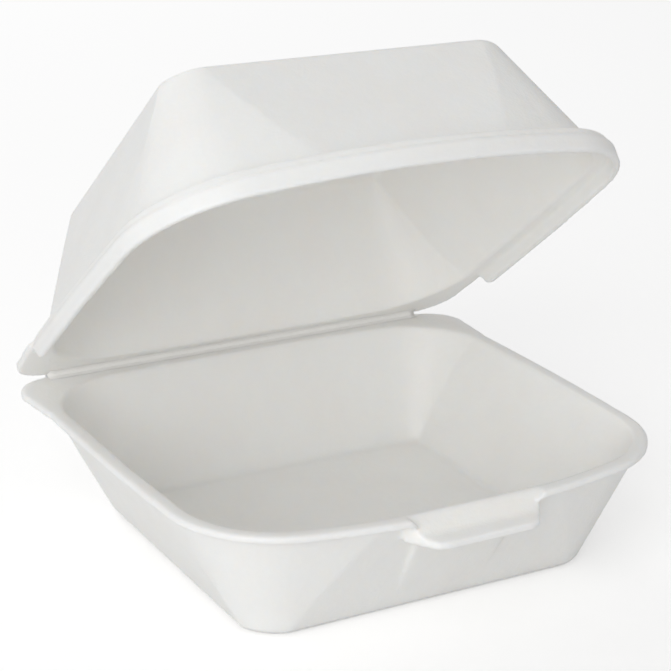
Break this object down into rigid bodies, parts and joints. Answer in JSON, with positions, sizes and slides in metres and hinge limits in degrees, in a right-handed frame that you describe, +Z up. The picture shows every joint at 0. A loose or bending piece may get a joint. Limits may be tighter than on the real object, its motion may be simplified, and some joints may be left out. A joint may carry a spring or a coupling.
{
  "type": "foam clamshell container",
  "caption": "Square moulded foam take-away box: a tray with a front tab and a matching lid that swings on a living hinge along the back.",
  "frame": {"origin": "centre of the tray's flat underside", "axes": "+Z up out of the tray's mouth, +X along the hinge, +Y towards the hinge, so the tab is at -Y"},
  "size_m": [0.15, 0.1505, 0.138],
  "materials": {
    "tray_foam": "expanded polystyrene sheet, satin skin",
    "lid_foam": "expanded polystyrene sheet, satin skin"
  },
  "bodies": {
    "tray": {"tray": "tray_foam"},
    "lid": {"lid": "lid_foam"}
  },
  "joints": [
    {"name": "lid_hinge", "type": "hinge", "parent": "tray", "child": "lid", "pos_m": [0, 0.0687, 0.036], "axis": [1, 0, 0], "range_deg": [-130, 37.7]}
  ]
}
